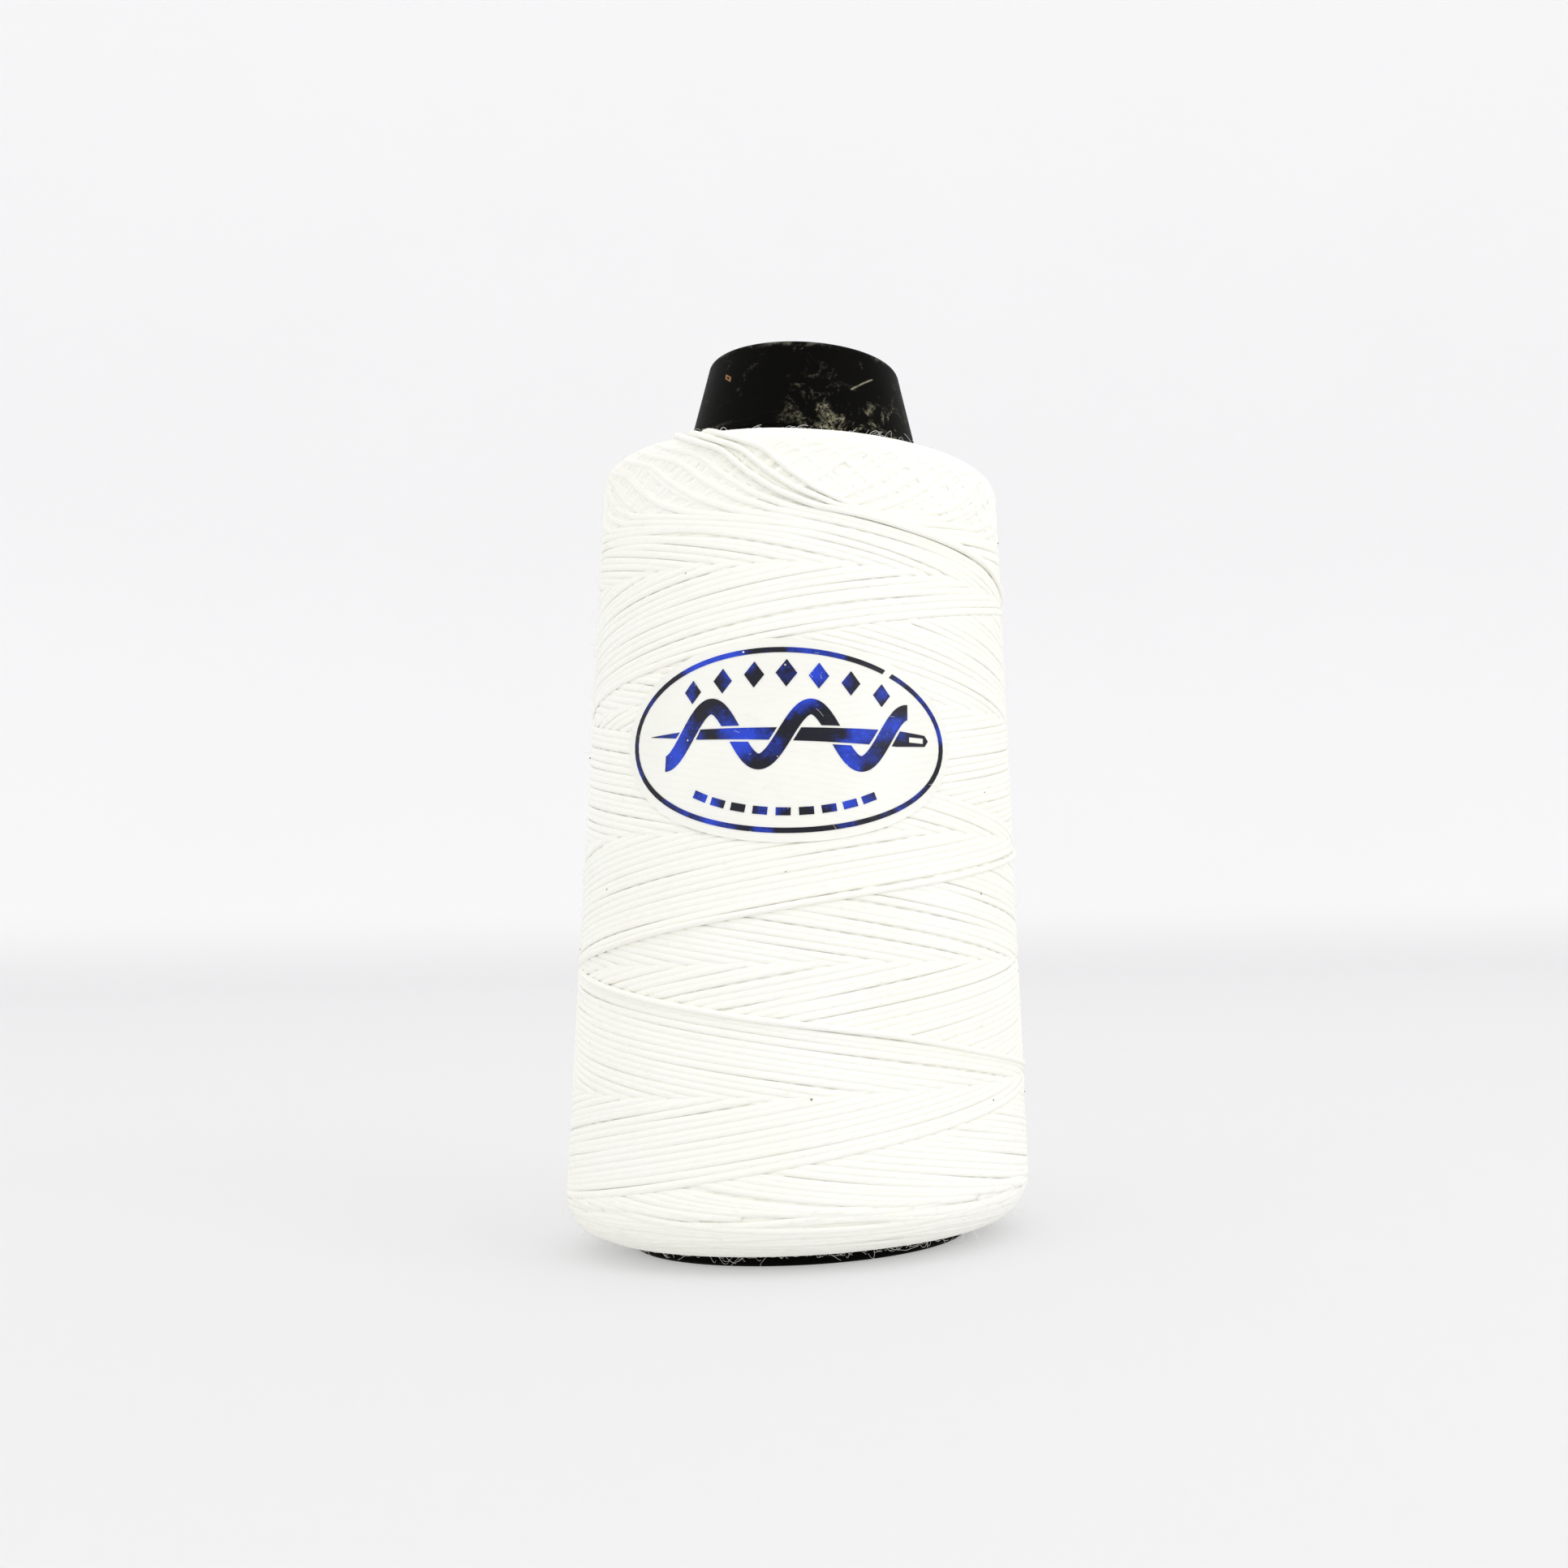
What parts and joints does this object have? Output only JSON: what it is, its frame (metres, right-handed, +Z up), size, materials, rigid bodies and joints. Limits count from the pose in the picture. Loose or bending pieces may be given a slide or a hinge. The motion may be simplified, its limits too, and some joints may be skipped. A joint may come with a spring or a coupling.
{
  "type": "thread cone",
  "caption": "Cone of white quilting thread cross-wound on a black moulded plastic tube, with an oval film label carrying a foil needle-and-thread motif.",
  "frame": {"origin": "centre of the base rim, on the surface the cone stands on", "axes": "+Z up the cone's axis from the base rim to the nose; the label faces -Y"},
  "size_m": [0.0588, 0.0591, 0.115],
  "materials": {
    "tube_plastic": "moulded, satin, dusty",
    "thread": "twisted cotton thread, matt, slightly fuzzy",
    "film": "thin glossy film over thread",
    "foil": "hot-stamped metallic blue foil"
  },
  "bodies": {
    "root": {"cone_tube": "tube_plastic", "thread_package": "thread", "strand_low": "thread", "strand_middle": "thread", "strand_top": "thread", "label_film": "film", "label_border": "foil", "label_needle": "foil", "label_wave": "foil", "label_diamonds": "foil", "label_stitches": "foil"}
  },
  "joints": []
}
